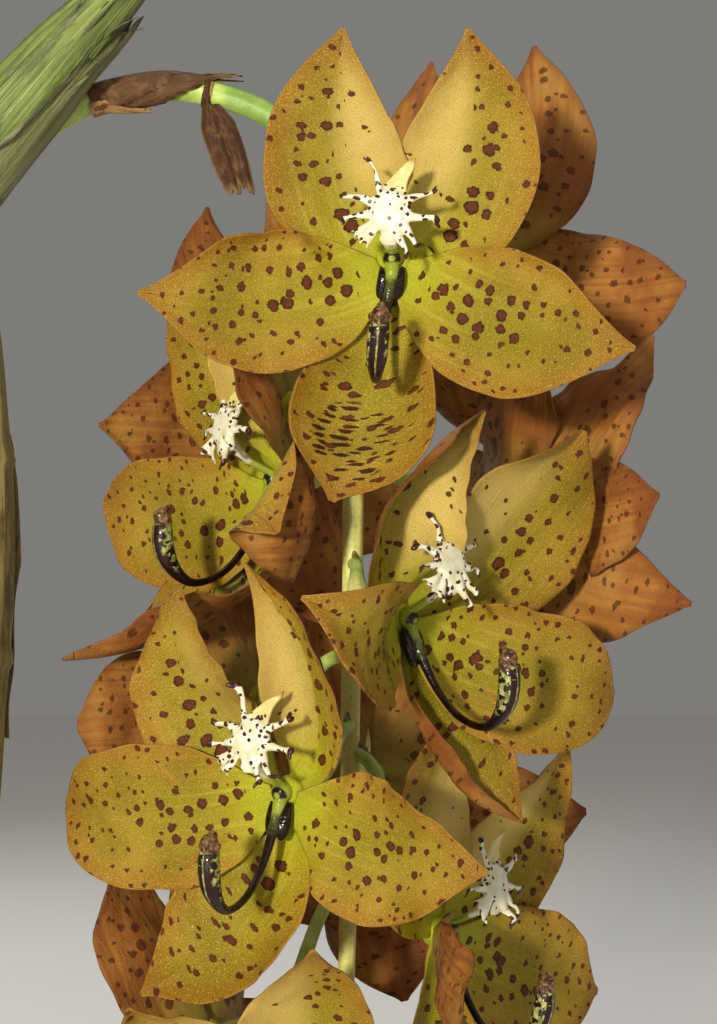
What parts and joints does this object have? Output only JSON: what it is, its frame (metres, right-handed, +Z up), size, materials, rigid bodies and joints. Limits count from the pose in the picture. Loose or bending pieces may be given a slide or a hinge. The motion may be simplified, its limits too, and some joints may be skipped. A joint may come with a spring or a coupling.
{
  "type": "potted swan orchid",
  "caption": "Swan orchid in a plain clay pot, with a hanging spray of spotted ochre blooms, white fingered lips and swan-neck columns beside upright pseudobulbs and pleated leaves.",
  "frame": {"origin": "centre of the pot's underside, on the surface that it stands on", "axes": "+Z up, +X to the side where the flower spray hangs, -Y to the front of the spray"},
  "size_m": [0.3776, 0.2528, 0.5246],
  "materials": {
    "clay": "unglazed, matt",
    "bark": "rough, dry",
    "bulb": "smooth green skin with dry sheaths",
    "old_bulb": "wrinkled, dull",
    "leaf": "satin, pleated",
    "stem": "smooth, satin",
    "dry_bract": "papery, torn",
    "bud": "satin",
    "tepal": "waxy, spotted, finely sparkling",
    "lip": "waxy white with dark spots",
    "column": "wet-looking gloss"
  },
  "bodies": {
    "root": {"pot": "clay", "bark_medium": "bark", "pseudobulb_flowering": "bulb", "pseudobulb_leafy": "bulb", "pseudobulb_old_tall": "old_bulb", "pseudobulb_old_short": "old_bulb", "leaf_1": "leaf", "leaf_2": "leaf", "leaf_3": "leaf", "leaf_4": "leaf", "leaf_5": "leaf", "leaf_6": "leaf", "leaf_7": "leaf", "flower_stem": "stem", "dry_bract_1": "dry_bract", "dry_bract_2": "dry_bract", "dry_bract_3": "dry_bract", "bud_1": "bud", "bud_2": "bud", "bloom_01_tepals": "tepal", "bloom_01_lip": "lip", "bloom_01_column": "column", "bloom_02_tepals": "tepal", "bloom_02_lip": "lip", "bloom_02_column": "column", "bloom_03_tepals": "tepal", "bloom_03_lip": "lip", "bloom_03_column": "column", "bloom_04_tepals": "tepal", "bloom_04_lip": "lip", "bloom_04_column": "column", "bloom_05_tepals": "tepal", "bloom_05_lip": "lip", "bloom_05_column": "column", "bloom_06_tepals": "tepal", "bloom_06_lip": "lip", "bloom_06_column": "column", "bloom_07_tepals": "tepal", "bloom_07_lip": "lip", "bloom_07_column": "column", "bloom_08_tepals": "tepal", "bloom_08_lip": "lip", "bloom_08_column": "column", "bloom_09_tepals": "tepal", "bloom_09_lip": "lip", "bloom_09_column": "column", "bloom_10_tepals": "tepal", "bloom_10_lip": "lip", "bloom_10_column": "column", "bloom_11_tepals": "tepal", "bloom_11_lip": "lip", "bloom_11_column": "column", "bloom_12_tepals": "tepal", "bloom_12_lip": "lip", "bloom_12_column": "column"}
  },
  "joints": []
}
